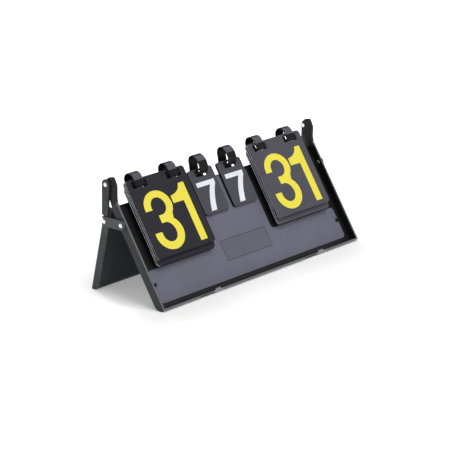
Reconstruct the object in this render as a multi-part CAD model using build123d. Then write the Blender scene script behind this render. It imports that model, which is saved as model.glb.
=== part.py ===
from build123d import *
import os
from math import cos, radians, sin, tan

# Tabletop flip scoreboard, in millimetres. X runs to the viewer's right, Y to the back, Z up.
# Two shallow shells stand as an A on the table, hinged at their top corners. The front tray
# carries two stacks of large score cards and two stacks of small ones, hung on loops.

# ---------------------------------------------------------------- driving sizes
# shells
shell_width = 385.0
wall = 2.5
floor_skin = 1.5
foot_round = 12.0
foot_inner_round = 8.0
foot_flat = 0.3
tray_length = 151.5
tray_depth = 13.5
tray_lean = 32.9
back_depth = 12.5
back_lean = 15.0

# hinge at the top corners, seen along X
hinge_rise = 29.5
hinge_depth = 2.5
hinge_stand_off = 3.1
apex_gap = 29.5
ear_thickness = 4.3
ear_taper_below = 5.5
ear_taper_above = 9.5
ear_throat = 2.8
ear_round = 3.0
# corners of the ear's neck and head, from the hinge's axis, as (up the slope, out of the tray)
ear_nape = (-13.7, -6.4)
ear_crown = (2.8, -4.3)
ear_brow = (6.7, 6.9)
ear_nose = (3.3, 15.1)
ear_chin = (-8.4, 13.5)
plate_gap = 0.3
plate_thickness = 2.3
arm_head = 7.0
arm_stay_gap = 1.05
arm_foot_front = 9.9
arm_foot_back = 0.85
arm_foot_length = 41.1
arm_seat = 1.0

# rivets and studs
rivet_radius = 2.2
rivet_head = 3.6
rivet_head_height = 1.2
rivet_tail_height = 0.8
head_gap = 0.1
running_clearance = 0.05

# stays
stay_width = 13.5
stay_pivot_drop = 27.2
stay_pivot_depth = 7.5
stud_drop = 51.0
stud_depth = 4.9
stay_tip = 4.5
stay_tip_round = 2.0
notch_clearance = 0.4
notch_rise = 35.0

# printed panel
panel_thickness = 1.0
panel_side_gap = 7.8
panel_edge_gap = 0.1
panel_top_gap = 1.5
panel_round = 5.5
band_top_gap = 0.4
tongue_side_gap = 6.5
peg_height = 37.0
peg_size = 3.5
peg_gap = 0.6
panel_notch = 5.0

# cards, and the shares of the width beside them that lie outside and between the stacks
card_gap = 0.03
side_share = 0.2838
middle_share = 0.1297
big_width = 107.0
big_height = 111.5
big_thickness = 0.25
big_front = 3.36
big_front_play = 1.04
big_hang = 11.3
big_round = 5.0
big_count = 32
big_raised = 20
pack_hang_gap = 0.5
big_slot_width = 26.0
big_slot_height = 10.4
big_bridge = 2.6
small_width = 46.0
small_height = 65.5
small_thickness = 0.45
small_hang = 19.5
small_round = 4.0
small_count = 8
small_slot_width = 22.0
small_slot_height = 8.9
small_bridge = 2.4
slot_round = 1.5

# loops that the cards hang on
loop_width = 15.5
loop_thickness = 1.6
loop_spread = 31.0
big_loop_rise = 35.8
big_loop_foot = 12.5
big_loop_front_round = 4.0
big_loop_back_round = 8.0
big_axis_drop = 11.3
big_axis_depth = 2.0
small_loop_rise = 34.5
small_loop_depth_radius = 10.0
small_loop_height_radius = 14.2
small_loop_depth = 5.0
small_axis_drop = 14.5
# corners of a small loop's flared back leg, from the middle of its oval, as (up the slope, out)
flare_crown = (8.5, -7.8)
flare_tip = (-7.3, -15.0)
flare_heel = (-12.6, -12.5)
flare_toe = (-13.6, -2.0)
flare_round = 3.0
tongue_length = 10.0
tongue_gap = 0.05

# catches in the tray's bottom rim, each measured from its own end of the tray
left_catch_inset = 102.5
right_catch_inset = 77.9
catch_width = 17.5
catch_thickness = 1.6
catch_hook = 2.0
recess_width = 25.0
recess_depth = 1.2
recess_gap = 1.0

# ---------------------------------------------------------------- sizes that follow
half_width = shell_width / 2
plate_inner = half_width + plate_gap
plate_outer = plate_inner + plate_thickness
tray_cos, tray_sin = cos(radians(tray_lean)), sin(radians(tray_lean))
back_cos, back_sin = cos(radians(back_lean)), sin(radians(back_lean))


def foot_drop(depth, along, across):
    """Height of a shell's lower edge over the lowest point of its rounded foot, less the flat."""
    centre_height = foot_round * along - (depth - foot_round) * across
    return foot_round - centre_height - foot_flat


tray_lift = foot_drop(tray_depth, tray_cos, tray_sin)
back_lift = foot_drop(back_depth, back_cos, back_sin)

# The hinge, the stays' pivots and the loops are set out from the tray's top edge, and the
# arms end short of the stays.
hinge_reach = tray_length + hinge_rise
arm_reach = stud_drop - stay_width / 2 - arm_stay_gap
ear_taper_start = tray_length - ear_taper_below
ear_taper_end = tray_length + ear_taper_above
stay_pivot_reach = tray_length - stay_pivot_drop
big_loop_top = tray_length + big_loop_rise
big_loop_bottom = tray_length + big_loop_foot
small_loop_top = tray_length + small_loop_rise

# The hinge's height over the table sets how long the back shell is.
hinge_y = hinge_reach * tray_sin + hinge_depth * tray_cos
hinge_z = hinge_reach * tray_cos - hinge_depth * tray_sin + tray_lift
back_reach = (hinge_z - hinge_stand_off * back_sin - back_lift) / back_cos
back_length = back_reach - apex_gap
back_y = hinge_y - hinge_stand_off * back_cos + back_reach * back_sin
set_back = back_y / 2

# The stacks share the width inside the tray.
inner_half_width = half_width - wall
spare_width = 2 * (inner_half_width - big_width - small_width)
big_centre = inner_half_width - side_share * spare_width - big_width / 2
small_centre = (middle_share * spare_width + small_width) / 2
catch_centres = (left_catch_inset - half_width, half_width - right_catch_inset)

# The large stacks hang inside their loops, whose backs rise in line with the tray's floor. The
# front cards of each stack have ridden up the loops and hang higher than the rest. The small
# stacks lie on the panel.
tray_floor = tray_depth - floor_skin
big_loop_front = big_front + big_front_play + loop_thickness
big_loop_radius = (tray_depth + big_loop_front) / 2
big_top = big_loop_top - big_hang
pack_top = big_loop_bottom + loop_thickness + pack_hang_gap + big_bridge
small_loop_reach = small_loop_top - small_loop_height_radius
small_top = small_loop_top - small_hang
small_front = small_count * (small_thickness + card_gap) + panel_thickness - tray_floor

# The panel starts where the tray's floor comes out of its rounded foot. It has a low band below
# the large stacks and a tongue that rises between them.
panel_bottom = wall + foot_inner_round + panel_edge_gap
panel_half_width = inner_half_width - panel_side_gap
band_top = pack_top - big_height - band_top_gap
tongue_half_width = big_centre - big_width / 2 - tongue_side_gap

# Each shell lies flat in its own frame: X across, Y up its length, Z out of its open side.
TRAY = Plane(
    origin=(0, -set_back, tray_lift), x_dir=(1, 0, 0), z_dir=(0, -tray_cos, tray_sin)
)
BACK = Plane(
    origin=(0, back_y - set_back, back_lift), x_dir=(-1, 0, 0), z_dir=(0, back_cos, back_sin)
)
SIDE = Plane.YZ


def in_world(frame, x, along, out):
    """A point of a shell's own frame as a point of the whole object."""
    return frame.from_local_coords(Vector(x, along, out))


hinge_at = in_world(TRAY, 0, hinge_reach, -hinge_depth)
pivot_at = in_world(TRAY, 0, stay_pivot_reach, -stay_pivot_depth)
stud_at = in_world(BACK, 0, back_reach - stud_drop, -stud_depth)
big_axis_at = in_world(TRAY, 0, big_loop_top - big_axis_drop, -big_axis_depth)
small_axis_at = in_world(TRAY, 0, small_loop_top - small_axis_drop, -small_loop_depth)


# ---------------------------------------------------------------- helpers
def across(profile, start, end):
    """Extrude a side profile, drawn as (along, out), from x = start to x = end."""
    face = SIDE * profile
    return Pos(start, 0, 0) * extrude(face, amount=end - start)


def rod(y, z, radius, start, end):
    """A round bar along X."""
    return across(Pos(y, z) * Circle(radius), start, end)


def both_sides(piece):
    return piece + mirror(piece, about=Plane.YZ)


def sided(piece, side):
    """The right-hand piece for side = 1, its mirror image for side = -1."""
    return piece if side > 0 else mirror(piece, about=Plane.YZ)


def placed(piece, frame):
    return frame.location * piece


def above_table(piece):
    """Cut a shell's rounded foot flat where it stands on the table."""
    table = Pos(0, 0, -shell_width / 2) * Box(2 * shell_width, shell_width, shell_width)
    return piece - table


def shell_profile(length, depth, lower, radius):
    """Side profile of a shallow shell, open at its top end, with a rounded foot."""
    sheet = Pos(lower, -depth) * Rectangle(length - lower, depth, align=(Align.MIN, Align.MIN))
    foot = sheet.vertices().sort_by_distance((lower, -depth, 0))[0]
    return fillet(foot, radius)


def open_shell(length, depth):
    outer = shell_profile(length, depth, 0, foot_round)
    inner = shell_profile(length + wall, depth - floor_skin, wall, foot_inner_round)
    body = across(outer, -half_width, half_width)
    return body - across(inner, wall - half_width, half_width - wall)


# ---------------------------------------------------------------- front tray
def ear_outline():
    """Side profile of the ear: a neck that rises from the wall to a blunt head."""
    corners = (ear_nape, ear_crown, ear_brow, ear_nose, ear_chin)
    points = [
        (ear_taper_start, -tray_floor),
        (tray_length, -tray_floor),
        *[(hinge_reach + along, out - hinge_depth) for along, out in corners],
        (ear_taper_end, ear_throat),
        (tray_length + wall, 0),
        (ear_taper_start, 0),
    ]
    sheet = make_face(Polyline(*points, close=True))
    head = [p for p in sheet.vertices() if p.X > hinge_reach]
    return fillet(head, ear_round)


def ear():
    """The right-hand ear, whose inner side tapers into the tray's wall."""
    inner = half_width - ear_thickness
    body = across(ear_outline(), inner, half_width)
    taper = make_face(
        Polyline(
            (inner - 1, ear_taper_start - 1),
            (half_width - wall, ear_taper_start - 1),
            (half_width - wall, ear_taper_start),
            (inner, ear_taper_end),
            (inner - 1, ear_taper_end),
            close=True,
        )
    )
    taper = Pos(0, 0, -tray_depth) * extrude(taper, amount=2 * tray_depth)
    return body - taper


def loop_centres():
    """Where the six loops stand across the tray, as (name, x, is it a large one)."""
    found = []
    for side, word in ((-1, "left"), (1, "right")):
        for step, place in ((-1, "left"), (1, "right")):
            found.append((f"loop_{word}_large_{place}", side * big_centre + step * loop_spread, True))
        found.append((f"loop_{word}_small", side * small_centre, False))
    return found


def tongue_seat(x):
    """The notch in the tray's top edge that takes one loop's tongue."""
    width = loop_width + 2 * tongue_gap
    cut = Box(width, tongue_length, floor_skin, align=(Align.CENTER, Align.MIN, Align.MIN))
    return Pos(x, tray_length - tongue_length, -tray_depth) * cut


def finger_recess(x):
    """The shallow thumb hollow in the bottom rim, to the left of a catch."""
    centre = x - (catch_width + recess_width) / 2 - recess_gap
    hollow = Box(recess_width, 2 * recess_depth, wall, align=Align.CENTER)
    return Pos(centre, 0, 0) * hollow


def catch_seat(x):
    """The slot through the bottom rim that holds one catch."""
    slot = Box(catch_width, wall, catch_thickness, align=(Align.CENTER, Align.MIN, Align.MAX))
    return Pos(x, 0, 0) * slot


def peg():
    """The right-hand peg that the panel's edge notch clips round."""
    centre = panel_half_width - panel_notch + peg_gap + peg_size / 2
    body = Box(peg_size, peg_size, panel_thickness + wall, align=(Align.CENTER, Align.CENTER, Align.MIN))
    return Pos(centre, peg_height, -tray_floor) * body


def front_tray():
    tray = open_shell(tray_length, tray_depth) + both_sides(ear()) + both_sides(peg())
    tray -= rod(hinge_reach, -hinge_depth, rivet_radius, -half_width, half_width)
    tray -= rod(stay_pivot_reach, -stay_pivot_depth, rivet_radius, -half_width, half_width)
    for name, x, large in loop_centres():
        tray -= tongue_seat(x)
    for x in catch_centres:
        tray -= finger_recess(x)
        tray -= catch_seat(x)
    return above_table(placed(tray, TRAY))


def catch(x):
    """A sprung catch tab in the bottom rim, with a small hook on its inner side."""
    align = (Align.CENTER, Align.MIN, Align.MAX)
    tab = Pos(x, 0, 0) * Box(catch_width, wall, catch_thickness, align=align)
    hook = Pos(x, wall, 0) * Box(catch_width / 2, catch_hook, catch_thickness, align=align)
    return placed(tab + hook, TRAY)


def front_panel():
    """The printed sheet on the tray's floor, cut away behind the two large stacks."""
    low = (Align.CENTER, Align.MIN)
    band = Rectangle(2 * panel_half_width, band_top - panel_bottom, align=low)
    tongue = Rectangle(2 * tongue_half_width, tray_length - panel_top_gap - panel_bottom, align=low)
    sheet = fillet((band + tongue).vertices(), panel_round)
    notch = Rectangle(panel_notch, peg_size + 2 * peg_gap, align=(Align.MAX, Align.CENTER))
    notch = Pos(panel_half_width, peg_height - panel_bottom) * notch
    sheet = sheet - notch - mirror(notch, about=Plane.YZ)
    plate = extrude(sheet, amount=panel_thickness)
    return placed(Pos(0, panel_bottom, -tray_floor) * plate, TRAY)


# ---------------------------------------------------------------- back shell
def arm_outline():
    """Side profile of the arm: a round head at the hinge and a foot on the shell's side."""
    strap = make_face(
        Polyline(
            (back_reach, hinge_stand_off - arm_head),
            (back_reach - arm_foot_length, -arm_foot_front),
            (back_reach - arm_reach - arm_foot_back, arm_foot_back),
            (back_reach, hinge_stand_off + arm_head),
            close=True,
        )
    )
    head = Pos(back_reach, hinge_stand_off) * Circle(arm_head)
    return (strap + head) & Pos(back_reach, hinge_stand_off) * Circle(arm_reach)


def arm():
    """The arm on one side, standing just clear of the ear and seated on the shell's side."""
    outline = arm_outline()
    plate = across(outline, plate_inner, plate_outer)
    low = Rectangle(back_length - arm_seat, 4 * back_depth, align=(Align.MIN, Align.CENTER))
    seat_profile = outline & low & shell_profile(back_length, back_depth, 0, foot_round)
    return plate + across(seat_profile, half_width - wall, plate_inner)


def rear_shell():
    shell = open_shell(back_length, back_depth) + both_sides(arm())
    bore = rivet_radius + running_clearance
    shell -= rod(back_reach, hinge_stand_off, bore, -plate_outer, plate_outer)
    shell -= rod(back_reach - stud_drop, -stud_depth, rivet_radius, -half_width, half_width)
    return above_table(placed(shell, BACK))


# ---------------------------------------------------------------- rivets, studs and stays
def rivet(at, inner):
    """A rivet on the right-hand side, from the inner face of what it holds to past the plates."""
    outer = plate_outer + head_gap
    shank = rod(at.Y, at.Z, rivet_radius, inner, outer)
    head = rod(at.Y, at.Z, rivet_head, outer, outer + rivet_head_height)
    tail = rod(at.Y, at.Z, rivet_head, inner - rivet_tail_height, inner)
    return shank + head + tail


def stay():
    """The right-hand stay: a strap with a pivot hole and a notch that opens to the back."""
    span = (stud_at - pivot_at).length
    tilt = Vector(0, 1, 0).get_signed_angle(stud_at - pivot_at, Vector(1, 0, 0))
    pivot_end = Circle(stay_width / 2)
    strap = Rectangle(span + stay_tip, stay_width, align=(Align.MIN, Align.CENTER))
    strap = fillet(strap.vertices().sort_by(Axis.X)[-2:], stay_tip_round)
    notch_radius = rivet_radius + notch_clearance
    rise = (stay_tip + notch_radius) * tan(radians(notch_rise))
    mouth = make_face(
        Polyline(
            (span, -notch_radius),
            (span + stay_tip + notch_radius, -notch_radius),
            (span + stay_tip + notch_radius, notch_radius + rise),
            (span, notch_radius),
            close=True,
        )
    )
    outline = pivot_end + strap - mouth - Pos(span, 0) * Circle(notch_radius)
    outline -= Circle(rivet_radius + running_clearance)
    outline = Pos(pivot_at.Y, pivot_at.Z) * Rot(0, 0, tilt) * outline
    return across(outline, plate_inner, plate_outer)


# ---------------------------------------------------------------- loops
def big_loop_outline():
    """A tall loop with a round top, a tight lower corner in front and a wide one behind."""
    centre = big_loop_top - big_loop_radius
    side = Rectangle(
        centre - big_loop_bottom, 2 * big_loop_radius, align=(Align.MAX, Align.CENTER)
    )
    back, front = side.vertices().sort_by(Axis.X)[:2].sort_by(Axis.Y)
    side = fillet(back, big_loop_back_round)
    front = side.vertices().sort_by_distance((front.X, front.Y, 0))[0]
    side = fillet(front, big_loop_front_round)
    return Pos(centre, big_loop_radius - tray_depth) * (side + Circle(big_loop_radius))


def small_loop_outline(inset):
    """An upright oval, whose back leg flares out behind the tray, drawn in by inset."""
    oval = Ellipse(small_loop_height_radius - inset, small_loop_depth_radius - inset)
    leg = make_face(Polyline(flare_toe, flare_heel, flare_tip, flare_crown, close=True))
    leg = fillet(leg.vertices().sort_by(Axis.Y)[:2], flare_round)
    if inset:
        leg = offset(leg, -inset)
    return Pos(small_loop_reach, -small_loop_depth) * (oval + leg)


def loop(x, large):
    """One loop in the tray's frame, with the tongue that plugs into the tray's top edge."""
    if large:
        outline = big_loop_outline()
        hole = offset(outline, -loop_thickness)
        top = big_loop_bottom + big_loop_back_round
    else:
        outline = small_loop_outline(0)
        hole = small_loop_outline(loop_thickness)
        top = small_loop_reach - small_loop_height_radius + 2 * loop_thickness
    low = tray_length - tongue_length
    tongue = Rectangle(top - low, floor_skin - 2 * tongue_gap, align=(Align.MIN, Align.CENTER))
    tongue = Pos(low, floor_skin / 2 - tray_depth) * tongue
    profile = (outline + tongue) - hole
    return placed(across(profile, x - loop_width / 2, x + loop_width / 2), TRAY)


# ---------------------------------------------------------------- cards
def card_outline(width, height, corner, slots, slot_width, slot_height, bridge):
    """A card hung from its top edge at y = 0, with its slots under a narrow bridge."""
    sheet = Rectangle(width, height, align=(Align.CENTER, Align.MAX))
    sheet = fillet(sheet.vertices(), corner)
    slot = fillet(Rectangle(slot_width, slot_height, align=(Align.CENTER, Align.MAX)).vertices(), slot_round)
    for x in slots:
        sheet -= Pos(x, -bridge) * slot
    return sheet


def big_card():
    outline = card_outline(
        big_width, big_height, big_round, (-loop_spread, loop_spread),
        big_slot_width, big_slot_height, big_bridge,
    )
    return extrude(outline, amount=big_thickness)


def small_card():
    outline = card_outline(
        small_width, small_height, small_round, (0,),
        small_slot_width, small_slot_height, small_bridge,
    )
    return extrude(outline, amount=small_thickness)


def stack(card, x, front_top, rest_top, face, count, raised):
    """The front card, whose face stands at the height face, and the cards behind it. The first
    cards, raised in number, hang level with the front one, and the others hang at rest_top."""
    thickness = card.bounding_box().size.Z
    front = placed(Pos(x, front_top, face - thickness) * card, TRAY)
    rest = []
    for place in range(1, count):
        out = face - thickness - place * (thickness + card_gap)
        top = front_top if place < raised else rest_top
        rest.append(placed(Pos(x, top, out) * card, TRAY))
    return front, Compound(children=rest)


# ---------------------------------------------------------------- the whole object
def build():
    pieces = {
        "front_tray": front_tray(),
        "front_panel": front_panel(),
        "rear_shell": rear_shell(),
    }
    for name, x, large in loop_centres():
        pieces[name] = loop(x, large)
    for word, x in zip(("left", "right"), catch_centres):
        pieces[f"rim_catch_{word}"] = catch(x)
    for side, word in ((-1, "left"), (1, "right")):
        pieces[f"hinge_rivet_{word}"] = sided(rivet(hinge_at, half_width - ear_thickness), side)
        pieces[f"stay_rivet_{word}"] = sided(rivet(pivot_at, half_width - wall), side)
        pieces[f"stay_stud_{word}"] = sided(rivet(stud_at, half_width - wall), side)
        pieces[f"stay_{word}"] = sided(stay(), side)
        front, rest = stack(
            big_card(), side * big_centre, big_top, pack_top, big_front, big_count, big_raised
        )
        pieces[f"score_card_{word}"] = front
        pieces[f"score_pack_{word}"] = rest
        front, rest = stack(
            small_card(), side * small_centre, small_top, small_top, small_front, small_count, small_count
        )
        pieces[f"set_card_{word}"] = front
        pieces[f"set_pack_{word}"] = rest
    return pieces


os.makedirs("parts", exist_ok=True)
for name, piece in build().items():
    export_step(piece, f"parts/{name}.step")

for name, at in (
    ("hinge", hinge_at),
    ("stay pivot", pivot_at),
    ("stud", stud_at),
    ("large card", big_axis_at),
    ("small card", small_axis_at),
):
    print(f"{name} axis at y {at.Y:.3f}, z {at.Z:.3f}")
print(f"back shell reach {back_reach:.2f}, length {back_length:.2f}, set back {set_back:.3f}")
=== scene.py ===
# %% [markdown]
# # Dressing a tabletop flip scoreboard
# The solids of the scoreboard come ready made: two shallow black shells that stand as an A,
# two stacks of large score cards and two stacks of small set cards, each hung on wide loops.
# This notebook gives them their finishes, prints the numerals, and adds the small details that
# a mould and a printing press leave behind. Nothing that came ready made is moved or resized.

# %% Load the frame
from math import cos, pi, radians, sin

import bmesh
import bpy
from mathutils import Matrix, Vector


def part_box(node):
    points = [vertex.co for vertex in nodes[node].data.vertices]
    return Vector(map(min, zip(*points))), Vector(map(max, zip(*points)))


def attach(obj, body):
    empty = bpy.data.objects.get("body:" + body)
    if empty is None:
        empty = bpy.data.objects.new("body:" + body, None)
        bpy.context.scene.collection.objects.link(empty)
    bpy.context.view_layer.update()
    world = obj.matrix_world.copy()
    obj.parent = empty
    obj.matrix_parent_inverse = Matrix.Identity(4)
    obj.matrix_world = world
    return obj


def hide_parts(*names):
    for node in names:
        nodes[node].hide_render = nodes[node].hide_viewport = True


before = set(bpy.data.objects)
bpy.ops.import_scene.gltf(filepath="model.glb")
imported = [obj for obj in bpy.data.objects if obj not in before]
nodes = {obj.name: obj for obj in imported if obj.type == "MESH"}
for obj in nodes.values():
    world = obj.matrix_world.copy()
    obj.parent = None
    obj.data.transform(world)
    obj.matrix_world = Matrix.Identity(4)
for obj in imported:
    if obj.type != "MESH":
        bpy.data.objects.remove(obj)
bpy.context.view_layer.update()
MM = 0.001

# %% [markdown]
# ## The tray's own frame
# The front tray leans back, so whatever lies on it is easier to place in a frame of its own:
# x runs across, `along` runs up the slope from the lower rim, and `out` comes out of the open
# side. Each number could be turned into world coordinates by hand, but then a change of the
# lean would touch all of them. Here one matrix does it, and the lean is written once.

# %% A point on the leaning tray
TRAY_LEAN = radians(32.9)
TRAY_LIFT = 2.439 * MM
TRAY_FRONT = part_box("front_tray")[0].y
ACROSS = Vector((1, 0, 0))
UP_SLOPE = Vector((0, sin(TRAY_LEAN), cos(TRAY_LEAN)))
OUT = Vector((0, -cos(TRAY_LEAN), sin(TRAY_LEAN)))


def tray_matrix(x=0.0, along=0.0, out=0.0):
    """Axes of the tray's frame as a matrix, moved to a point given in millimetres."""
    origin = Vector((0, TRAY_FRONT, TRAY_LIFT)) + MM * (x * ACROSS + along * UP_SLOPE + out * OUT)
    turn = Matrix((ACROSS, UP_SLOPE, OUT)).transposed()
    return Matrix.Translation(origin) @ turn.to_4x4()


RIM_CORNER = tray_matrix().translation
print("the tray's frame starts at", [round(v / MM, 1) for v in RIM_CORNER], "mm")

# %% [markdown]
# ## A little arithmetic in a node tree
# A procedural material is a formula. Written node by node, a formula soon fills a page, so
# four helpers keep it short: one joins two sockets, one adds a maths node, one reads where the
# shaded point is or which way it faces, and one measures that along an axis. The last is all
# that is needed to find a rim, a card's edge or the top of a loop without painting by hand.

# %% Helpers for node trees
def link(tree, source, target):
    """Join an output socket to an input socket."""
    tree.links.new(source, target)


def calc(tree, operation, *values):
    """A maths node; each value is a number or a socket."""
    node = tree.nodes.new("ShaderNodeMath")
    node.operation = operation
    for k, value in enumerate(values):
        if isinstance(value, (int, float)):
            node.inputs[k].default_value = value
        else:
            link(tree, value, node.inputs[k])
    return node.outputs["Value"]


def coordinate(tree, name):
    """One of the coordinates that a surface offers, such as Object or Normal."""
    return tree.nodes.new("ShaderNodeTexCoord").outputs[name]


def along_axis(tree, vector, axis, origin=(0, 0, 0), unit=MM):
    """How far a point lies from origin along an axis, in millimetres."""
    shift = tree.nodes.new("ShaderNodeVectorMath")
    shift.operation = "SUBTRACT"
    link(tree, vector, shift.inputs[0])
    shift.inputs[1].default_value = tuple(origin)
    dot = tree.nodes.new("ShaderNodeVectorMath")
    dot.operation = "DOT_PRODUCT"
    link(tree, shift.outputs["Vector"], dot.inputs[0])
    dot.inputs[1].default_value = tuple(v / unit for v in axis)
    return dot.outputs["Value"]


# %% [markdown]
# ## A grained surface
# Moulded plastic, painted card and printed ink share one trait: up close none of them has one
# colour or one gloss. A flat colour with a constant roughness would look like a drawing. An
# image could add the grain, but it would need an unwrapped surface and would blur up close, so
# noise does the work here. Wide patches shift the colour a little, smaller ones the gloss, and
# the finest grain raises a bump.

# %% A helper that builds a grained material
COLOUR_PATCH = 38.0
COLOUR_STOPS = (0.35, 0.65)
GLOSS_PATCH = 9.0
GLOSS_STOPS = (0.3, 0.7)
GLOSS_SPREAD = 0.08
GRAIN_DEPTH = 0.05


def noise(tree, place, size, detail=4.0):
    """Noise whose features are about size millimetres wide."""
    node = tree.nodes.new("ShaderNodeTexNoise")
    node.inputs["Scale"].default_value = 1 / (size * MM)
    node.inputs["Detail"].default_value = detail
    node.inputs["Roughness"].default_value = 0.55
    link(tree, place, node.inputs["Vector"])
    return node.outputs["Fac"]


def ramp(tree, factor, stops):
    """A colour ramp with (position, colour) stops."""
    node = tree.nodes.new("ShaderNodeValToRGB")
    elements = node.color_ramp.elements
    while len(elements) < len(stops):
        elements.new(0.5)
    for element, (position, colour) in zip(elements, stops):
        element.position = position
        element.color = colour
    link(tree, factor, node.inputs["Fac"])
    return node.outputs["Color"]


def zip_stops(positions, colours):
    """The stops of a ramp, from its positions and its colours."""
    return list(zip(positions, colours))


def shade(colour, factor=1.0):
    """A colour made lighter or darker, with its alpha."""
    return tuple(min(1.0, c * factor) for c in colour) + (1.0,)


def principled(material):
    """The shader node that a new material starts with."""
    return material.node_tree.nodes["Principled BSDF"]


def grained(name, colour, *, roughness=0.5, grain=0.6, bump=0.1, mottle=0.12, specular=0.5):
    """A moulded or printed surface: mottled colour, fine grain, uneven gloss."""
    material = bpy.data.materials.new(name)
    material.use_nodes = True
    tree, shader = material.node_tree, principled(material)
    place = coordinate(tree, "Object")
    tones = [shade(colour, 1 - mottle), shade(colour, 1 + mottle)]
    mottled = ramp(tree, noise(tree, place, COLOUR_PATCH, 3.0), zip_stops(COLOUR_STOPS, tones))
    link(tree, mottled, shader.inputs["Base Color"])
    glosses = [shade((g, g, g)) for g in (roughness - GLOSS_SPREAD, roughness + GLOSS_SPREAD)]
    uneven = ramp(tree, noise(tree, place, GLOSS_PATCH), zip_stops(GLOSS_STOPS, glosses))
    link(tree, uneven, shader.inputs["Roughness"])
    relief = tree.nodes.new("ShaderNodeBump")
    relief.inputs["Strength"].default_value = bump
    relief.inputs["Distance"].default_value = GRAIN_DEPTH * MM
    link(tree, noise(tree, place, grain, 2.0), relief.inputs["Height"])
    link(tree, relief.outputs["Normal"], shader.inputs["Normal"])
    shader.inputs["Specular IOR Level"].default_value = specular
    return material


# %% [markdown]
# ## A second colour where a formula says so
# A rim with a painted highlight, a hollow with painted shade, or a cut edge is the same plastic
# in another tone. It could be a second material on chosen faces, but the solids' triangles don't
# always end where the tone does. A mask that is worked out from the point's place, and mixes in
# the second colour, needs no faces at all.

# %% Helpers that lay one colour over another
def span(tree, value, low, high):
    """1 where value lies between low and high, else 0."""
    above = calc(tree, "GREATER_THAN", value, low)
    return calc(tree, "MULTIPLY", above, calc(tree, "LESS_THAN", value, high))


def blended(tree, factor, first, second):
    """first where factor is 0, second where it is 1; each a colour or a socket."""
    node = tree.nodes.new("ShaderNodeMix")
    node.data_type = "RGBA"
    link(tree, factor, node.inputs["Factor"])
    for name, value in (("A", first), ("B", second)):
        socket = next(s for s in node.inputs if s.name == name and s.type == "RGBA")
        if isinstance(value, tuple):
            socket.default_value = value
        else:
            link(tree, value, socket)
    return next(s for s in node.outputs if s.type == "RGBA")


def recolour(material, mask_and_colour):
    """Lay a second colour over a grained material where its mask is 1."""
    tree, target = material.node_tree, principled(material).inputs["Base Color"]
    base = target.links[0].from_socket
    mask, colour = mask_and_colour(tree)
    link(tree, blended(tree, mask, base, colour), target)
    return material


# %% [markdown]
# ## The two shells
# Tray and rear shell are moulded in one black plastic. Inside the tray, where deep shade lies
# behind the cards, that shade is painted into the colour as a near black. The rim's top gets a
# painted highlight as a paler tone, and the ears and arms that carry the hinge get painted shade
# as a darker tone. Each tone is a mask that is worked out from the point's place, so it stops
# exactly where that part of the mould does.

# %% Finish the shells
INSIDE_HALF_WIDTH = 190.2
SKIN, RIM = -12.7, -0.25
EAR_START, ARM_START = 154.0, 131.0
# Painted shade inside the tray, a painted highlight on the rim, painted shade on the hinge ears and arms.
PAINTED_DEEP_SHADE = shade((0.0047, 0.0047, 0.0056))
PAINTED_RIM_HIGHLIGHT = shade((0.153, 0.153, 0.162))
PAINTED_HINGE_SHADE = shade((0.012, 0.012, 0.0146))


def painted_inside_shade(tree):
    """The floor and the inner sides of the tray, as a mask and the near black of painted shade."""
    place = coordinate(tree, "Object")
    side = calc(tree, "ABSOLUTE", along_axis(tree, place, ACROSS, RIM_CORNER))
    inner = calc(tree, "LESS_THAN", side, INSIDE_HALF_WIDTH)
    deep = span(tree, along_axis(tree, place, OUT, RIM_CORNER), SKIN, RIM)
    return calc(tree, "MULTIPLY", inner, deep), PAINTED_DEEP_SHADE


def painted_rim_highlight(tree):
    """The face of the rim, as a mask and the paler colour of a painted highlight."""
    height = along_axis(tree, coordinate(tree, "Object"), OUT, RIM_CORNER)
    return span(tree, height, RIM, -RIM), PAINTED_RIM_HIGHLIGHT


def painted_hinge_shade(start, axis, origin=(0, 0, 0)):
    """Everything past a height along an axis, as a mask and the darker colour of painted shade."""

    def mask_and_colour(tree):
        height = along_axis(tree, coordinate(tree, "Object"), axis, origin)
        return calc(tree, "GREATER_THAN", height, start), PAINTED_HINGE_SHADE

    return mask_and_colour


MOULD = {"grain": 0.35, "bump": 0.25}
TRAY_BLACK = grained("moulded_black", (0.0492, 0.0519, 0.0585), roughness=0.6, specular=0.2, **MOULD)
# Lay the painted inside shade, the painted rim highlight and the painted hinge shade over the tray.
for tone in (painted_inside_shade, painted_rim_highlight, painted_hinge_shade(EAR_START, UP_SLOPE, RIM_CORNER)):
    recolour(TRAY_BLACK, tone)
SHELL_BLACK = grained("shell_black", (0.0266, 0.0293, 0.0346), roughness=0.55, specular=0.4, **MOULD)
# The hinge arms of the rear shell get the same painted shade.
recolour(SHELL_BLACK, painted_hinge_shade(ARM_START, Vector((0, 0, 1))))
print("shell finishes:", TRAY_BLACK.name, SHELL_BLACK.name)

# %% [markdown]
# ## Panel, print and small parts
# The panel on the tray's floor is a matt sheet with a violet tint. The ink of the numerals is a
# screen print, smoother than the card below it. Stays and catches are small mouldings from
# other tools, so each has its own black or grey. Plated rivets are the one metal here: the same
# grain serves them, as fine turning marks.

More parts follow.
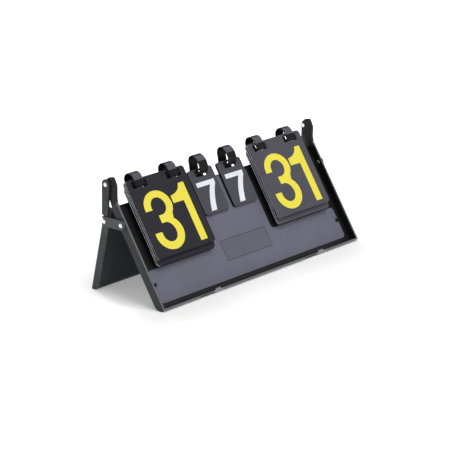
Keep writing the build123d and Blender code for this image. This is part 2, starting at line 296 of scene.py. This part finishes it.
# %% Finish the panel, the print and the small parts
SMALL_MOULD = {"grain": 0.35, "bump": 0.2}
SCREEN_PRINT = {"roughness": 0.45, "grain": 0.4, "bump": 0.05, "mottle": 0.02}
LABEL_PRINT = {"roughness": 0.5, "grain": 0.6, "bump": 0.04, "mottle": 0.03, "specular": 0.25}
PANEL_SHEET = {"roughness": 0.6, "grain": 0.5, "bump": 0.06, "mottle": 0.04, "specular": 0.25}
PANEL = grained("panel_sheet", (0.144, 0.145, 0.192), **PANEL_SHEET)
STAY = grained("stay_black", (0.0399, 0.0412, 0.0452), roughness=0.5, **SMALL_MOULD)
CATCH = grained("catch_grey", (0.213, 0.213, 0.226), roughness=0.55, **SMALL_MOULD)
YELLOW = grained("yellow_print", (0.90, 0.78, 0.056), **SCREEN_PRINT)
WHITE = grained("white_print", (0.88, 0.88, 0.94), **SCREEN_PRINT)
LABEL = grained("label_sheet", (0.12, 0.12, 0.16), **LABEL_PRINT)
LABEL_EDGE = grained("label_border", (0.0372, 0.0372, 0.0505), **LABEL_PRINT)
STEEL = grained("rivet_steel", (0.72, 0.72, 0.73), roughness=0.22, grain=0.3, bump=0.15, mottle=0.04)
principled(STEEL).inputs["Metallic"].default_value = 1.0
print("materials so far:", len(bpy.data.materials))

# %% [markdown]
# ## Cards and their cut edges
# A score card is a thin plastic sheet with a soft sheen. A knife leaves its edge rough and pale,
# so a stack seen from its outer side is a band of light and dark lines. Each card could get its
# own tone, but the lines in a real stack also fade and come back along its length. So they come
# from the height over the tray: a wave gives runs of lighter and darker cards, noise that is
# stretched along the stack makes the runs uneven, and a finer one breaks the light lines up.

# %% Build the card material
EDGE_PITCH = 3.4
EDGE_RUN, EDGE_DRIFT = (2.5, 45.0), 4.0
EDGE_BREAK, BREAK_GAIN, BREAK_BASE = (0.4, 2.2), 0.9, 0.55
EDGE_STOPS = (0.40, 0.54, 0.68)
HALF_LIGHT = 0.45
EDGE_TURN = 0.5
CARD_SHEEN = {"roughness": 0.42, "grain": 0.8, "bump": 0.05, "mottle": 0.05, "specular": 0.1}


def stretched_noise(tree, height, run, feature):
    """Noise with features of one size across the cards and another along them."""
    vector = tree.nodes.new("ShaderNodeCombineXYZ")
    for axis, value, size in zip("XY", (height, run), feature):
        link(tree, calc(tree, "DIVIDE", value, size), vector.inputs[axis])
    node = tree.nodes.new("ShaderNodeTexNoise")
    node.inputs["Scale"].default_value = 1.0
    node.inputs["Detail"].default_value = 2.0
    link(tree, vector.outputs["Vector"], node.inputs["Vector"])
    return node.outputs["Fac"]


def edge_lines(tree, place):
    """How light a cut edge is at a point, from 0 to a little over 1."""
    height = along_axis(tree, place, OUT, RIM_CORNER)
    run = along_axis(tree, place, UP_SLOPE, RIM_CORNER)
    drift = calc(tree, "MULTIPLY", stretched_noise(tree, height, run, EDGE_RUN), EDGE_DRIFT)
    turn = calc(tree, "ADD", calc(tree, "MULTIPLY", height, 2 * pi / EDGE_PITCH), drift)
    wave = calc(tree, "MULTIPLY_ADD", calc(tree, "SINE", turn), 0.5, 0.5)
    broken = stretched_noise(tree, height, run, EDGE_BREAK)
    return calc(tree, "MULTIPLY", wave, calc(tree, "MULTIPLY_ADD", broken, BREAK_GAIN, BREAK_BASE))


def card(name, colour, edge_dark, edge_light, centre=0.0, reach=0.0):
    """A dark sheet whose cut edges show as pale streaks, further than reach from the centre."""

    def cut_edge(tree):
        facing = along_axis(tree, coordinate(tree, "Normal"), OUT, unit=1)
        edge = calc(tree, "LESS_THAN", calc(tree, "ABSOLUTE", facing), EDGE_TURN)
        place = coordinate(tree, "Object")
        aside = calc(tree, "ABSOLUTE", along_axis(tree, place, ACROSS, (centre * MM, 0, 0)))
        edge = calc(tree, "MULTIPLY", edge, calc(tree, "GREATER_THAN", aside, reach))
        tones = [shade(edge_dark), shade(edge_light, HALF_LIGHT), shade(edge_light)]
        return edge, ramp(tree, edge_lines(tree, place), zip_stops(EDGE_STOPS, tones))

    return recolour(grained(name, colour, **CARD_SHEEN), cut_edge)


# %% [markdown]
# Both large stacks hold the same cards, but they get lit and shaded copies of one finish: the
# left copy is painted nearly black with bright edges, as painted shade, and the right copy is
# painted greyer with softer edges, as painted sheen. Only the outer edges are pale, so the slots
# and the inner sides are left out by their distance from the stack's centre. The set cards are
# too few to show lines, and they lie deep in the tray, so their edges are painted dark as shade.

# %% Finish the three kinds of card
LARGE_CENTRE, LARGE_EDGE = 115.5, 49.0
# Lit and shaded copies of one card: the left tones are painted shade, the right ones painted sheen.
LEFT_SHADED_TONES = (0.024, 0.0226, 0.0293), (0.0053, 0.0053, 0.0066), (0.95, 0.95, 1.0)
RIGHT_SHEEN_TONES = (0.085, 0.0825, 0.101), (0.016, 0.016, 0.020), (0.58, 0.58, 0.65)
# The set cards' dark edge tones are painted shade.
SET_TONES_EDGE_SHADE = (0.0745, 0.0745, 0.0878), (0.0027, 0.0027, 0.004), (0.008, 0.008, 0.0106)
CARD_LEFT_SHADED = card("left_card_painted_shade", *LEFT_SHADED_TONES, -LARGE_CENTRE, LARGE_EDGE)
CARD_RIGHT_SHEEN = card("right_card_painted_sheen", *RIGHT_SHEEN_TONES, LARGE_CENTRE, LARGE_EDGE)
CARD_SET = card("set_card_sheet", *SET_TONES_EDGE_SHADE)
print("card finishes:", CARD_LEFT_SHADED.name, CARD_RIGHT_SHEEN.name, CARD_SET.name)

# %% [markdown]
# ## Loops
# Each loop is a flat strap bent into a ring. Its upper front catches the light, and that
# highlight is painted on as a paler patch. The mould left fine ribs across the crown, which grip
# a card while it is being turned. The ribs are far thinner than a pixel of any view, so a bump
# is enough. It feeds the grain's own bump, and the two add up.

# %% Build the loop material
RIB_PITCH, RIB_HEIGHT = 1.9, 0.12
# Where the painted highlight lies on each loop's upper front, and its colour.
SHEEN_SPAN, SHEEN_DEPTH, SHEEN_TURN = (173.5, 183.5), 2.0, 0.55
PAINTED_LOOP_SHEEN = shade((0.100, 0.098, 0.120))
LOOP_BLACK = (0.00333, 0.00333, 0.00399)


def painted_front_sheen(tree):
    """The upper front of a loop, as a mask and the paler colour of a painted highlight."""
    place = coordinate(tree, "Object")
    facing = along_axis(tree, coordinate(tree, "Normal"), OUT, unit=1)
    front = calc(tree, "GREATER_THAN", facing, SHEEN_TURN)
    upper = span(tree, along_axis(tree, place, UP_SLOPE, RIM_CORNER), *SHEEN_SPAN)
    proud = calc(tree, "GREATER_THAN", along_axis(tree, place, OUT, RIM_CORNER), SHEEN_DEPTH)
    return calc(tree, "MULTIPLY", front, calc(tree, "MULTIPLY", upper, proud)), PAINTED_LOOP_SHEEN


def ribbed_loop():
    """Black plastic with fine ribs that run round the crown of the loop."""
    material = grained("loop_black", LOOP_BLACK, roughness=0.45, grain=0.5, bump=0.12, specular=0.12)
    # The paler upper front is a painted highlight.
    recolour(material, painted_front_sheen)
    tree = material.node_tree
    relief = next(node for node in tree.nodes if node.type == "BUMP")
    run = along_axis(tree, coordinate(tree, "Object"), ACROSS)
    wave = calc(tree, "SINE", calc(tree, "MULTIPLY", run, 2 * pi / RIB_PITCH))
    ribs = tree.nodes.new("ShaderNodeBump")
    ribs.inputs["Strength"].default_value = 0.25
    ribs.inputs["Distance"].default_value = RIB_HEIGHT * MM
    link(tree, wave, ribs.inputs["Height"])
    link(tree, ribs.outputs["Normal"], relief.inputs["Normal"])
    return material


LOOP = ribbed_loop()
print("ribs on a loop every", RIB_PITCH, "mm")

# %% [markdown]
# ## Painting the ready-made solids
# The solids are named by what they are, so the start of a name is enough to choose a finish.
# A table keeps the choice in one place, and a solid that no line covers would stop the script.

# %% Paint the solids
FINISH_OF = {
    "front_tray": TRAY_BLACK,
    "rear_shell": SHELL_BLACK,
    "front_panel": PANEL,
    "loop": LOOP,
    "hinge_rivet": STEEL,
    "stay_rivet": STEEL,
    "stay_stud": STEEL,
    "stay_left": STAY,
    "stay_right": STAY,
    "rim_catch": CATCH,
    "score_card_left": CARD_LEFT_SHADED,
    "score_pack_left": CARD_LEFT_SHADED,
    "score_card_right": CARD_RIGHT_SHEEN,
    "score_pack_right": CARD_RIGHT_SHEEN,
    "set_": CARD_SET,
}


def paint(piece, material):
    """Make a material the only one of a piece."""
    piece.data.materials.clear()
    piece.data.materials.append(material)


for node_name, node in nodes.items():
    found = [material for start, material in FINISH_OF.items() if node_name.startswith(start)]
    paint(node, found[-1])
print("painted", len(nodes), "nodes")

# %% [markdown]
# ## Numerals
# The cards carry tall narrow numerals in thick ink. A font would bring somebody's lettering with
# it, so these are drawn here: the outline of each numeral is a list of straight runs, arcs and
# pulled curves, in millimetres across and up the card.

# %% Helpers that draw outlines
def arc(centre, radii, start, end, steps=20):
    """Points on an ellipse's arc, angles in degrees, anticlockwise from the right."""
    points = []
    for k in range(steps + 1):
        angle = radians(start + (end - start) * k / steps)
        points.append((centre[0] + radii[0] * cos(angle), centre[1] + radii[1] * sin(angle)))
    return points


def bow(start, pull, end, steps=16):
    """Points on a curve from start to end that is pulled towards a third point."""
    points = []
    for k in range(steps + 1):
        u = k / steps
        a, b, c = (1 - u) ** 2, 2 * u * (1 - u), u ** 2
        points.append(tuple(a * s + b * p + c * e for s, p, e in zip(start, pull, end)))
    return points


# %% [markdown]
# The three is one closed outline. It runs from the end of the upper hook over the upper bowl,
# round the lower bowl to the end of the lower hook, and back along the inside of both bowls.
# The one has a flag that curves into its stem, and the seven a leg that bends as it falls.

# %% Outlines of 3, 1 and 7
UPPER, LOWER = (-16, 132), (-16, 94)
THREE = (
    [(-40.2, 129)]
    + arc(UPPER, (24, 22), 180, 0)
    + arc(UPPER, (24, 20), 0, -40, 8)[1:]
    + arc(LOWER, (24.5, 23), 48, -180, 28)
    + [(-40.5, 98), (-28.2, 98)]
    + arc(LOWER, (12.2, 12.2), -180, 0)
    + arc(LOWER, (12.2, 15), 0, 90, 10)[1:]
    + [(-22, 109), (-22, 120)]
    + arc(UPPER, (12.3, 12), -90, 0, 10)
    + arc(UPPER, (12.3, 12.5), 0, 180)[1:]
    + [(-28.3, 129)]
)
ONE = (
    [(29.5, 71), (41.5, 71), (41.5, 154), (31.5, 154)]
    + bow((31.5, 154), (28.5, 142), (10.8, 140.5))[1:]
    + [(10.8, 129.7), (29.5, 129.7)]
)
SEVEN = (
    [(-17, 147.5), (17, 147.5), (17, 141.5)]
    + bow((17, 141.5), (5, 125), (0.3, 105))[1:]
    + bow((-9.6, 105), (-4, 126), (6.8, 141))
    + [(-17, 141)]
)
print("numeral outlines have", len(THREE), len(ONE), len(SEVEN), "corners")

# %% [markdown]
# ## Raising an outline as ink
# Screen printing leaves a layer a few hundredths of a millimetre thick, with a crisp wall. The
# numerals could be a pattern in the card's material, but an edge that sharp would need a very
# fine pattern, and ink that stands on the card is closer to how it is made. Each outline
# becomes a thin closed slab, and all slabs of one print share one mesh.

# %% A helper that raises outlines
INK = 0.05


def ink(name, outlines, thickness, matrix, material, body):
    """Raise closed outlines, in millimetres, into one thin piece that rides a body."""
    mesh = bpy.data.meshes.new(name)
    form = bmesh.new()
    for outline in outlines:
        low = [form.verts.new((p[0] * MM, p[1] * MM, 0)) for p in outline]
        high = [form.verts.new((p[0] * MM, p[1] * MM, thickness * MM)) for p in outline]
        form.faces.new(high)
        form.faces.new(list(reversed(low)))
        for k in range(len(outline)):
            nxt = (k + 1) % len(outline)
            form.faces.new((low[k], low[nxt], high[nxt], high[k]))
    bmesh.ops.recalc_face_normals(form, faces=form.faces)
    bmesh.ops.triangulate(form, faces=form.faces)
    form.to_mesh(mesh)
    form.free()
    mesh.transform(matrix)
    piece = bpy.data.objects.new(name, mesh)
    bpy.context.scene.collection.objects.link(piece)
    paint(piece, material)
    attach(piece, body)
    return piece


# %% [markdown]
# Both large cards show the same number, and so do both small ones. The ink rides the front
# card of its stack, so it turns over with it.

# %% Print the four front cards
LARGE_FACE = 3.36
SMALL_CENTRE, SMALL_FACE = 27.8, -7.16
for side, word in ((-1, "left"), (1, "right")):
    face = tray_matrix(side * LARGE_CENTRE, 0, LARGE_FACE)
    ink(f"score_print_{word}", [THREE, ONE], INK, face, YELLOW, f"score_card_{word}")
    face = tray_matrix(side * SMALL_CENTRE, 0, SMALL_FACE)
    ink(f"set_print_{word}", [SEVEN], INK, face, WHITE, f"set_card_{word}")
    print("printed the", word, "cards")

# %% [markdown]
# ## Label
# A thin sheet is stuck to the middle of the panel. It is blank here: a slightly darker field
# with a fine raised border. Both are outlines too, so the same helper raises them.

# %% Stick the blank label on the panel
PANEL_FACE = -11.0
LABEL_BOX = (-44.5, 44.5, 33.5, 64.0)
LABEL_CORNER, LABEL_THICKNESS = 1.5, 0.08
BORDER_INSET, BORDER_WIDTH, BORDER_HEIGHT = 1, 0.7, 0.04


def rounded_sheet(x0, x1, y0, y1, corner):
    """A rectangle with round corners."""
    points = []
    for x, y, first in ((x1, y1, 0), (x0, y1, 90), (x0, y0, 180), (x1, y0, 270)):
        centre = (x - corner if x == x1 else x + corner, y - corner if y == y1 else y + corner)
        points += arc(centre, (corner, corner), first, first + 90, 6)
    return points


def border(x0, x1, y0, y1, width):
    """Four thin strips that frame a rectangle."""
    return [
        [(x0, y0), (x1, y0), (x1, y0 + width), (x0, y0 + width)],
        [(x0, y1 - width), (x1, y1 - width), (x1, y1), (x0, y1)],
        [(x0, y0 + width), (x0 + width, y0 + width), (x0 + width, y1 - width), (x0, y1 - width)],
        [(x1 - width, y0 + width), (x1, y0 + width), (x1, y1 - width), (x1 - width, y1 - width)],
    ]


field = rounded_sheet(*LABEL_BOX, LABEL_CORNER)
ink("panel_label", [field], LABEL_THICKNESS, tray_matrix(0, 0, PANEL_FACE), LABEL, "tray")
left, right, bottom, top = LABEL_BOX
inset = (left + BORDER_INSET, right - BORDER_INSET, bottom + BORDER_INSET, top - BORDER_INSET)
strips = border(*inset, BORDER_WIDTH)
label_top = tray_matrix(0, 0, PANEL_FACE + LABEL_THICKNESS)
ink("label_border", strips, BORDER_HEIGHT, label_top, LABEL_EDGE, "tray")
print("label:", right - left, "by", top - bottom, "mm")

# %% [markdown]
# ## Rivets
# A rivet's head is set with a domed punch, which leaves a low dome with a soft rim and a small
# dimple in the middle. A sphere cut flat would miss the dimple and the rim, so the dome and the
# shank are turned from a profile, as on a lathe, and each is made only once.

# %% Turn the two stamps
DOME = [(0, 0), (0, 2.85), (0.1, 3.05), (0.3, 3.12), (0.5, 3.0), (0.8, 2.6), (1.03, 2.0)]
DOME += [(1.16, 1.3), (1.2, 0.85), (1.17, 0.6), (1.08, 0.3), (1.05, 0)]
SHANK = [(0, 0), (0, 2.05), (0.05, 2.2), (0.95, 2.2), (1, 2.05), (1, 0)]


def lathe(name, profile, steps=28):
    """Turn a profile, given as (x, radius) in millimetres, about the X axis."""
    form = bmesh.new()
    rings = []
    for x, radius in profile:
        turns = steps if radius else 1
        ring = [2 * pi * k / turns for k in range(turns)]
        rings.append([form.verts.new((x * MM, radius * MM * cos(a), radius * MM * sin(a))) for a in ring])
    for first, second in zip(rings, rings[1:]):
        for k in range(steps):
            corners = [first[k % len(first)], first[(k + 1) % len(first)]]
            corners += [second[(k + 1) % len(second)], second[k % len(second)]]
            form.faces.new(list(dict.fromkeys(corners)))
    bmesh.ops.recalc_face_normals(form, faces=form.faces)
    for face in form.faces:
        face.smooth = True
    mesh = bpy.data.meshes.new(name)
    form.to_mesh(mesh)
    form.free()
    stamp = bpy.data.objects.new(name, mesh)
    bpy.context.scene.collection.objects.link(stamp)
    return stamp


dome_stamp, shank_stamp = lathe("dome_stamp", DOME), lathe("shank_stamp", SHANK)
print("faces of a dome:", len(dome_stamp.data.polygons), "of a shank:", len(shank_stamp.data.polygons))

# %% [markdown]
# ## A node tree that repeats the stamps
# Copies could be made in a loop, each moved and joined. Geometry Nodes do it in one step: every
# point of the input mesh is one copy, and three attributes on the points say which stamp to
# use, which way it faces and how far it is stretched. The tree ends with real faces and one
# material, because an instance would be lost when the scene is exported.

# %% Build the tree
def attribute(tree, name, kind):
    """Reads a named attribute of the points."""
    node = tree.nodes.new("GeometryNodeInputNamedAttribute")
    node.data_type = kind
    node.inputs["Name"].default_value = name
    return node.outputs["Attribute"]


def stamp_copies(tree, start, label, wanted):
    """Copies of one stamp on the points that ask for it."""
    stamp = tree.nodes.new("GeometryNodeObjectInfo")
    stamp.transform_space = "ORIGINAL"
    link(tree, start.outputs[label], stamp.inputs["Object"])
    same = tree.nodes.new("FunctionNodeCompare")
    same.data_type, same.operation = "INT", "EQUAL"
    same.inputs[3].default_value = wanted
    link(tree, attribute(tree, "stamp", "INT"), same.inputs[2])
    copies = tree.nodes.new("GeometryNodeInstanceOnPoints")
    link(tree, start.outputs["Geometry"], copies.inputs["Points"])
    link(tree, same.outputs["Result"], copies.inputs["Selection"])
    link(tree, stamp.outputs["Geometry"], copies.inputs["Instance"])
    link(tree, attribute(tree, "facing", "FLOAT_VECTOR"), copies.inputs["Rotation"])
    link(tree, attribute(tree, "stretch", "FLOAT_VECTOR"), copies.inputs["Scale"])
    return copies.outputs["Instances"]


def repeat_tree():
    """Copies of two stamps on the points of a mesh, as one plain mesh with one material."""
    tree = bpy.data.node_groups.new("repeat_rivets", "GeometryNodeTree")
    tree.interface.new_socket("Geometry", in_out="INPUT", socket_type="NodeSocketGeometry")
    for label, kind in (("Dome", "Object"), ("Shank", "Object"), ("Finish", "Material")):
        tree.interface.new_socket(label, in_out="INPUT", socket_type=f"NodeSocket{kind}")
    tree.interface.new_socket("Geometry", in_out="OUTPUT", socket_type="NodeSocketGeometry")
    start = tree.nodes.new("NodeGroupInput")
    stop = tree.nodes.new("NodeGroupOutput")
    joined = tree.nodes.new("GeometryNodeJoinGeometry")
    for wanted, label in enumerate(("Dome", "Shank")):
        link(tree, stamp_copies(tree, start, label, wanted), joined.inputs["Geometry"])
    real = tree.nodes.new("GeometryNodeRealizeInstances")
    finish = tree.nodes.new("GeometryNodeSetMaterial")
    link(tree, joined.outputs["Geometry"], real.inputs["Geometry"])
    link(tree, real.outputs["Geometry"], finish.inputs["Geometry"])
    link(tree, start.outputs["Finish"], finish.inputs["Material"])
    link(tree, finish.outputs["Geometry"], stop.inputs["Geometry"])
    return tree


rivet_tree = repeat_tree()
print("the tree has", len(rivet_tree.nodes), "nodes")

# %% [markdown]
# ## Running the tree
# The modifier that runs the tree wants its inputs by the sockets' identifiers, not by their
# names. Once it has run, its result is kept as a plain mesh and the maker is thrown away.

# %% A helper that runs the tree once
def fill_attribute(mesh, name, kind, values):
    """Give every point of a mesh its own value."""
    data = mesh.attributes.new(name, kind, "POINT").data
    for item, value in zip(data, values):
        if kind == "INT":
            item.value = value
        else:
            item.vector = value


def repeated(name, tree, copies, inputs):
    """Run the tree over a list of (point, stamp, facing, stretch), and keep one plain mesh."""
    source = bpy.data.meshes.new(name + "_points")
    points, stamps, facings, stretches = zip(*copies)
    source.from_pydata(points, [], [])
    fill_attribute(source, "stamp", "INT", stamps)
    fill_attribute(source, "facing", "FLOAT_VECTOR", facings)
    fill_attribute(source, "stretch", "FLOAT_VECTOR", stretches)
    maker = bpy.data.objects.new(name + "_maker", source)
    bpy.context.scene.collection.objects.link(maker)
    modifier = maker.modifiers.new("repeat", "NODES")
    modifier.node_group = tree
    for item in tree.interface.items_tree:
        if item.in_out == "INPUT" and item.name in inputs:
            modifier[item.identifier] = inputs[item.name]
    graph = bpy.context.evaluated_depsgraph_get()
    mesh = bpy.data.meshes.new_from_object(maker.evaluated_get(graph))
    mesh.name = name
    bpy.data.objects.remove(maker)
    piece = bpy.data.objects.new(name, mesh)
    bpy.context.scene.collection.objects.link(piece)
    return piece


# %% [markdown]
# ## Setting the rivets
# Every rivet has the same dome outside. Its tail inside the wall is the same dome pressed
# flatter. Where each rivet stands is read from the solid it takes the place of, and one mesh
# holds all the rivets of one body, so that they move with it.

# %% Set the rivets
DOME_HEIGHT, TAIL_HEIGHT = 1.2, 0.8
TURNED_ROUND = (0, 0, pi)
RIVETS = {
    "tray": ["hinge_rivet_left", "hinge_rivet_right", "stay_rivet_left", "stay_rivet_right"],
    "rear_leg": ["stay_stud_left", "stay_stud_right"],
}


def rivet_copies(node_name):
    """The dome, tail and shank that stand for one rivet."""
    low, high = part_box(node_name)
    centre = (low + high) / 2
    sign = 1 if centre.x > 0 else -1
    inner, outer = sorted((abs(low.x), abs(high.x)))
    dome_x, tail_x = outer - DOME_HEIGHT * MM, inner + TAIL_HEIGHT * MM
    outward, inward = ((0, 0, 0), TURNED_ROUND)[::sign]

    def at(x):
        return (sign * x, centre.y, centre.z)

    return [
        (at(dome_x), 0, outward, (1, 1, 1)),
        (at(tail_x), 0, inward, (TAIL_HEIGHT / DOME_HEIGHT, 1, 1)),
        (at(tail_x), 1, outward, ((dome_x - tail_x) / MM, 1, 1)),
    ]


for body, names in RIVETS.items():
    copies = [copy for name in names for copy in rivet_copies(name)]
    inputs = {"Dome": dome_stamp, "Shank": shank_stamp, "Finish": STEEL}
    piece = repeated(f"rivets_{body}", rivet_tree, copies, inputs)
    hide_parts(*names)
    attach(piece, body)
    print(piece.name, len(piece.data.polygons), "faces")
for stamp in (dome_stamp, shank_stamp):
    bpy.data.objects.remove(stamp)

# %% [markdown]
# ## Camera
# The camera stands to the left and somewhat above, and looks at the board with a long lens, so
# the A shape and the sides of both stacks show at once. A target would be simpler to aim at,
# but a look direction with its own roll fits a real photograph better, because such a picture
# is seldom quite level.

# %% Place the camera
CAMERA_AZIMUTH = radians(-45.6112)
CAMERA_ELEVATION = radians(18.2769)
CAMERA_ROLL = radians(-1.0197)
CAMERA_PLACE = Vector((-1.77126, -1.65791 + TRAY_FRONT, 0.87343))
FOCAL_PIXELS = 1902.43
IMAGE_PIXELS = 450
SENSOR = 36.0


def place_camera():
    """Stand the camera where the photograph was taken from."""
    look = Vector((
        -sin(CAMERA_AZIMUTH) * cos(CAMERA_ELEVATION),
        cos(CAMERA_AZIMUTH) * cos(CAMERA_ELEVATION),
        -sin(CAMERA_ELEVATION),
    ))
    level = look.cross(Vector((0, 0, 1))).normalized()
    upright = level.cross(look)
    right = cos(CAMERA_ROLL) * level + sin(CAMERA_ROLL) * upright
    up = cos(CAMERA_ROLL) * upright - sin(CAMERA_ROLL) * level
    data = bpy.data.cameras.new("camera")
    data.sensor_width = SENSOR
    data.lens = FOCAL_PIXELS / IMAGE_PIXELS * SENSOR
    data.clip_end = 20
    camera = bpy.data.objects.new("camera", data)
    turn = Matrix((right, up, -look)).transposed()
    camera.matrix_world = Matrix.Translation(CAMERA_PLACE) @ turn.to_4x4()
    bpy.context.scene.collection.objects.link(camera)
    bpy.context.scene.camera = camera
    print("lens:", round(data.lens, 1), "mm")


place_camera()

# %% [markdown]
# ## White background
# The board stands on white, yet strong light from all round would wash its black plastic out.
# So the sky lights the object softly and is plain white only to the rays that show it: those of
# the camera, and those that reach it by a reflection or through something clear.

# %% Make the sky
SKY = 0.375


def seen_directly(tree):
    """1 for the rays that show the ground and sky to the camera, straight or in a reflection."""
    path = tree.nodes.new("ShaderNodeLightPath")
    either = calc(tree, "MAXIMUM", path.outputs["Is Camera Ray"], path.outputs["Is Glossy Ray"])
    return calc(tree, "MAXIMUM", either, path.outputs["Is Transmission Ray"])


def white_world():
    """Even light from all round; to the camera itself the background is plain white."""
    world = bpy.data.worlds.new("world")
    world.use_nodes = True
    tree = world.node_tree
    sky = tree.nodes["Background"]
    sky.inputs["Color"].default_value = (1, 1, 1, 1)
    strength = calc(tree, "ADD", calc(tree, "MULTIPLY", seen_directly(tree), 1 - SKY), SKY)
    link(tree, strength, sky.inputs["Strength"])
    bpy.context.scene.world = world


white_world()
print("the sky lights the object at", SKY)

# %% [markdown]
# ## Floor
# A pale sheet takes the shadow. Lit as softly as the object is, it would be a light grey, so it
# glows a little, again only where it is seen. Near the board the glow is weak and the shadow
# stays, further out it grows until the sheet meets the white sky without a line. In a band in
# front of the lower rim it is weaker still, which paints shade there: the soft shadow under the
# rim is partly the back lamp's real shadow and partly this painted shade.

# %% Lay the floor
FLOOR_REACH = 6.0
GLOW_SPAN = (0.20, 0.45)
NEAR_GLOW, FAR_GLOW = 0.295, 0.75
# The band in front of the lower rim, where a weaker glow paints shade on the floor.
SHADE_BAND_PLACE, SHADE_BAND_SPAN, SHADE_BAND_GLOW = 92.0, (18, 65), 0.55


def eased(tree, value, span_of_value, first, last):
    """first below a span of values, last above it, and a straight line in between."""
    node = tree.nodes.new("ShaderNodeMapRange")
    link(tree, value, node.inputs["Value"])
    settings = zip(("From Min", "From Max", "To Min", "To Max"), (*span_of_value, first, last))
    for label, setting in settings:
        node.inputs[label].default_value = setting
    return node.outputs["Result"]


def floor_glow(tree):
    """How strongly the floor glows at a point."""
    place = coordinate(tree, "Object")
    length = tree.nodes.new("ShaderNodeVectorMath")
    length.operation = "LENGTH"
    link(tree, place, length.inputs[0])
    outward = eased(tree, length.outputs["Value"], GLOW_SPAN, NEAR_GLOW, FAR_GLOW)
    from_band = calc(tree, "ADD", along_axis(tree, place, (0, 1, 0)), SHADE_BAND_PLACE)
    # The weaker glow in this band is painted shade in front of the lower rim.
    band = eased(tree, calc(tree, "ABSOLUTE", from_band), SHADE_BAND_SPAN, SHADE_BAND_GLOW, 1)
    return calc(tree, "MULTIPLY", seen_directly(tree), calc(tree, "MULTIPLY", band, outward))


def pale_floor():
    """A wide pale sheet, bright enough to be white where no shadow falls on it, with painted shade in a
    band in front of the lower rim.
    """
    mesh = bpy.data.meshes.new("floor")
    signs = ((-1, -1), (1, -1), (1, 1), (-1, 1))
    mesh.from_pydata([(x * FLOOR_REACH, y * FLOOR_REACH, 0) for x, y in signs], [], [(0, 1, 2, 3)])
    floor = bpy.data.objects.new("floor", mesh)
    bpy.context.scene.collection.objects.link(floor)
    sheet = {"roughness": 0.9, "grain": 2.0, "bump": 0.02, "mottle": 0.003, "specular": 0.0}
    paper = grained("floor_paper", (0.95, 0.95, 0.95), **sheet)
    tree = paper.node_tree
    glow = tree.nodes.new("ShaderNodeEmission")
    link(tree, floor_glow(tree), glow.inputs["Strength"])
    both = tree.nodes.new("ShaderNodeAddShader")
    link(tree, principled(paper).outputs["BSDF"], both.inputs[0])
    link(tree, glow.outputs["Emission"], both.inputs[1])
    link(tree, both.outputs["Shader"], tree.nodes["Material Output"].inputs["Surface"])
    paint(floor, paper)
    print("floor:", 2 * FLOOR_REACH, "m wide")


pale_floor()

# %% [markdown]
# ## Lamps
# A large key lamp hangs high in front of the board, and a wide fill lamp lower down opens the
# shade between the cards. A weak lamp behind gives the thin shadow under the lower rim, which
# the floor's weaker glow there deepens with painted shade. They are kept at a level at which a
# colour renders about as it is written, so that the white ink stays a little below pure white.

# %% Hang the lamps and set the view
AIM = (0, 0, 0.08)
LAMPS = {
    "key": {"place": (0.1, -1.5, 3.0), "size": 1.8, "power": 45},
    "fill": {"place": (0.8, -2.6, 1.6), "size": 2.0, "power": 13.5},
    "back": {"place": (0.5, 1.9, 2.2), "size": 0.7, "power": 22.5},
}


def area_lamp(name, place, size, power):
    """A square lamp that shines from its place at the board."""
    data = bpy.data.lights.new(name, "AREA")
    data.size = size
    data.energy = power
    lamp = bpy.data.objects.new(name, data)
    lamp.location = place
    lamp.rotation_euler = (Vector(AIM) - Vector(place)).to_track_quat("-Z", "Y").to_euler()
    bpy.context.scene.collection.objects.link(lamp)


for lamp_name, settings in LAMPS.items():
    area_lamp(lamp_name, **settings)
bpy.context.scene.view_settings.view_transform = "Standard"
print("lamps:", ", ".join(LAMPS))
